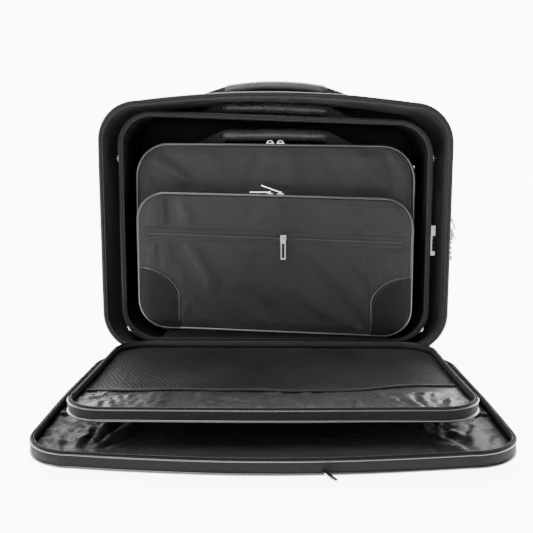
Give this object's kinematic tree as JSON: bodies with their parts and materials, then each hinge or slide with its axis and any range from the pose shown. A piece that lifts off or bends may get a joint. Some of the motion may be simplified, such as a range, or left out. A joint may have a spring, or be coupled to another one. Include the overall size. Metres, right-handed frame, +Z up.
{
  "type": "pilot rolling flight case",
  "caption": "Pilot rolling flight case: nested soft-sided black cases with fold-down front lids, padded handles, dial locks, wheels and a telescopic trolley.",
  "frame": {"origin": "on the floor under the middle of the bounding box of the open set", "axes": "+Z up, -Y towards the front where the lids fold out, +X to the right as seen from the front"},
  "size_m": [0.4707, 0.5716, 0.3985],
  "materials": {
    "black_cloth": "woven",
    "black_vinyl": "semi-gloss",
    "grey_satin": "satin",
    "black_mesh": "open mesh",
    "webbing": "ribbed",
    "chrome": "polished",
    "steel_tube": "brushed",
    "black_plastic": "moulded",
    "dial_plastic": "gloss",
    "wheel_rubber": "matt"
  },
  "bodies": {
    "large_case": {"large_shell": "black_cloth", "large_lining": "grey_satin", "large_rim_piping": "black_vinyl", "large_zip_tape": "webbing", "large_side_zip": "webbing", "large_side_sliders": "chrome", "large_feet": "black_plastic", "large_lock_body": "chrome", "large_hinge_strip": "black_cloth", "wheel_housings": "black_plastic", "wheel_axles": "steel_tube", "trolley_outer_tubes": "steel_tube", "trolley_bezel": "black_plastic"},
    "large_lid": {"large_lid_tray": "black_cloth", "large_lid_lining": "grey_satin", "large_lid_mesh_pocket": "black_mesh", "large_lid_piping": "black_vinyl", "large_lid_pocket": "black_cloth"},
    "trolley_mid": {"trolley_mid_tubes": "steel_tube"},
    "trolley_inner": {"trolley_inner_tubes": "steel_tube", "trolley_grip": "black_plastic"},
    "trolley_push_button": {"trolley_button": "steel_tube"},
    "left_wheel": {"wheel_left": "black_plastic", "tyre_left": "wheel_rubber"},
    "right_wheel": {"wheel_right": "black_plastic", "tyre_right": "wheel_rubber"},
    "large_handle": {"large_handle_grip": "black_vinyl", "large_handle_straps": "webbing"},
    "medium_handle": {"medium_handle_grip": "black_vinyl", "medium_handle_straps": "webbing"},
    "small_handle": {"small_handle_grip": "black_vinyl", "small_handle_straps": "webbing"},
    "large_lock_dial_1": {"large_dial_1": "dial_plastic"},
    "large_lock_dial_2": {"large_dial_2": "dial_plastic"},
    "large_lock_dial_3": {"large_dial_3": "dial_plastic"},
    "medium_lock_dial_1": {"medium_dial_1": "dial_plastic"},
    "medium_lock_dial_2": {"medium_dial_2": "dial_plastic"},
    "medium_lock_dial_3": {"medium_dial_3": "dial_plastic"},
    "upper_side_pull": {"large_side_pull_upper": "chrome"},
    "lower_side_pull": {"large_side_pull_lower": "chrome"},
    "medium_case": {"medium_shell": "black_cloth", "medium_floor_pad": "grey_satin", "medium_rim_piping": "black_vinyl", "medium_lock_body": "chrome", "medium_d_rings": "chrome", "medium_sliders": "chrome"},
    "medium_lid": {"medium_lid_tray": "black_cloth", "medium_lid_lining": "grey_satin", "medium_lid_mesh_pocket": "black_mesh", "medium_lid_piping": "black_vinyl"},
    "small_case": {"small_shell": "black_cloth", "small_d_rings": "chrome"},
    "small_lid": {"small_lid_tray": "black_cloth", "small_pocket": "black_cloth", "small_piping": "black_vinyl", "small_sliders": "chrome"},
    "left_pocket_pull": {"small_pocket_pull_left": "chrome"},
    "right_pocket_pull": {"small_pocket_pull_right": "chrome"},
    "slash_slider": {"small_slash_slider": "chrome"},
    "slash_pull": {"small_slash_pull": "chrome"}
  },
  "joints": [
    {"name": "large_lid_hinge", "type": "hinge", "parent": "large_case", "child": "large_lid", "pos_m": [0, 0.0568, 0.0335], "axis": [1, 0, 0], "range_deg": [-91.2, 0]},
    {"name": "medium_slide", "type": "slide", "parent": "large_case", "child": "medium_case", "axis": [0, -1, 0], "range_m": [0, 0.24]},
    {"name": "medium_lid_hinge", "type": "hinge", "parent": "medium_case", "child": "medium_lid", "pos_m": [0, 0.0596, 0.0388], "axis": [1, 0, 0], "range_deg": [-88, 0]},
    {"name": "small_slide", "type": "slide", "parent": "medium_case", "child": "small_case", "axis": [0, -1, 0], "range_m": [0, 0.16]},
    {"name": "small_lid_hinge", "type": "hinge", "parent": "small_case", "child": "small_lid", "pos_m": [0, 0.1088, 0.0545], "axis": [1, 0, 0], "range_deg": [0, 10]},
    {"name": "trolley_mid_slide", "type": "slide", "parent": "large_case", "child": "trolley_mid", "axis": [0, 0, 1], "range_m": [0, 0.27]},
    {"name": "trolley_inner_slide", "type": "slide", "parent": "trolley_mid", "child": "trolley_inner", "axis": [0, 0, 1], "range_m": [0, 0.27]},
    {"name": "trolley_button_press", "type": "slide", "parent": "trolley_inner", "child": "trolley_push_button", "axis": [0, 0, -1], "range_m": [0, 0.003], "stiffness_N_per_m": 400},
    {"name": "left_wheel_spin", "type": "hinge", "parent": "large_case", "child": "left_wheel", "pos_m": [-0.17, 0.2598, 0.025], "axis": [1, 0, 0], "continuous": true},
    {"name": "right_wheel_spin", "type": "hinge", "parent": "large_case", "child": "right_wheel", "pos_m": [0.17, 0.2598, 0.025], "axis": [1, 0, 0], "continuous": true},
    {"name": "large_handle_tilt", "type": "hinge", "parent": "large_case", "child": "large_handle", "pos_m": [0, 0.1668, 0.3775], "axis": [1, 0, 0], "range_deg": [-25, 25]},
    {"name": "medium_handle_tilt", "type": "hinge", "parent": "medium_case", "child": "medium_handle", "pos_m": [0, 0.1468, 0.3484], "axis": [1, 0, 0], "range_deg": [-25, 25]},
    {"name": "small_handle_tilt", "type": "hinge", "parent": "small_case", "child": "small_handle", "pos_m": [0, 0.1488, 0.3114], "axis": [1, 0, 0], "range_deg": [-25, 25]},
    {"name": "large_dial_1_turn", "type": "hinge", "parent": "large_case", "child": "large_lock_dial_1", "pos_m": [0.2336, 0.0848, 0.166], "axis": [0, 0, 1], "continuous": true},
    {"name": "large_dial_2_turn", "type": "hinge", "parent": "large_case", "child": "large_lock_dial_2", "pos_m": [0.2336, 0.0848, 0.173], "axis": [0, 0, 1], "continuous": true},
    {"name": "large_dial_3_turn", "type": "hinge", "parent": "large_case", "child": "large_lock_dial_3", "pos_m": [0.2336, 0.0848, 0.18], "axis": [0, 0, 1], "continuous": true},
    {"name": "medium_dial_1_turn", "type": "hinge", "parent": "medium_case", "child": "medium_lock_dial_1", "pos_m": [0.2106, 0.0868, 0.172], "axis": [0, 0, 1], "continuous": true},
    {"name": "medium_dial_2_turn", "type": "hinge", "parent": "medium_case", "child": "medium_lock_dial_2", "pos_m": [0.2106, 0.0868, 0.179], "axis": [0, 0, 1], "continuous": true},
    {"name": "medium_dial_3_turn", "type": "hinge", "parent": "medium_case", "child": "medium_lock_dial_3", "pos_m": [0.2106, 0.0868, 0.186], "axis": [0, 0, 1], "continuous": true},
    {"name": "upper_side_pull_swing", "type": "hinge", "parent": "large_case", "child": "upper_side_pull", "pos_m": [0.234, 0.0698, 0.212], "axis": [0, 1, 0], "range_deg": [-150, 3]},
    {"name": "lower_side_pull_swing", "type": "hinge", "parent": "large_case", "child": "lower_side_pull", "pos_m": [0.234, 0.0698, 0.199], "axis": [0, 1, 0], "range_deg": [-55, 18]},
    {"name": "left_pocket_pull_swing", "type": "hinge", "parent": "small_lid", "child": "left_pocket_pull", "pos_m": [-0.007, 0.0822, 0.2473], "axis": [0, 1, 0], "range_deg": [0, 120]},
    {"name": "right_pocket_pull_swing", "type": "hinge", "parent": "small_lid", "child": "right_pocket_pull", "pos_m": [0.007, 0.0786, 0.2473], "axis": [0, 1, 0], "range_deg": [-10, 100]},
    {"name": "slash_slider_run", "type": "slide", "parent": "small_lid", "child": "slash_slider", "axis": [1, 0, 0], "range_m": [-0.14, 0.12]},
    {"name": "slash_pull_swing", "type": "hinge", "parent": "slash_slider", "child": "slash_pull", "pos_m": [0.011, 0.0637, 0.187], "axis": [-1, 0, 0], "range_deg": [-4, 150]}
  ],
  "couplings": [
    {"joint": "medium_lid_hinge", "follows": "large_lid_hinge", "ratio": 0.9649}
  ]
}
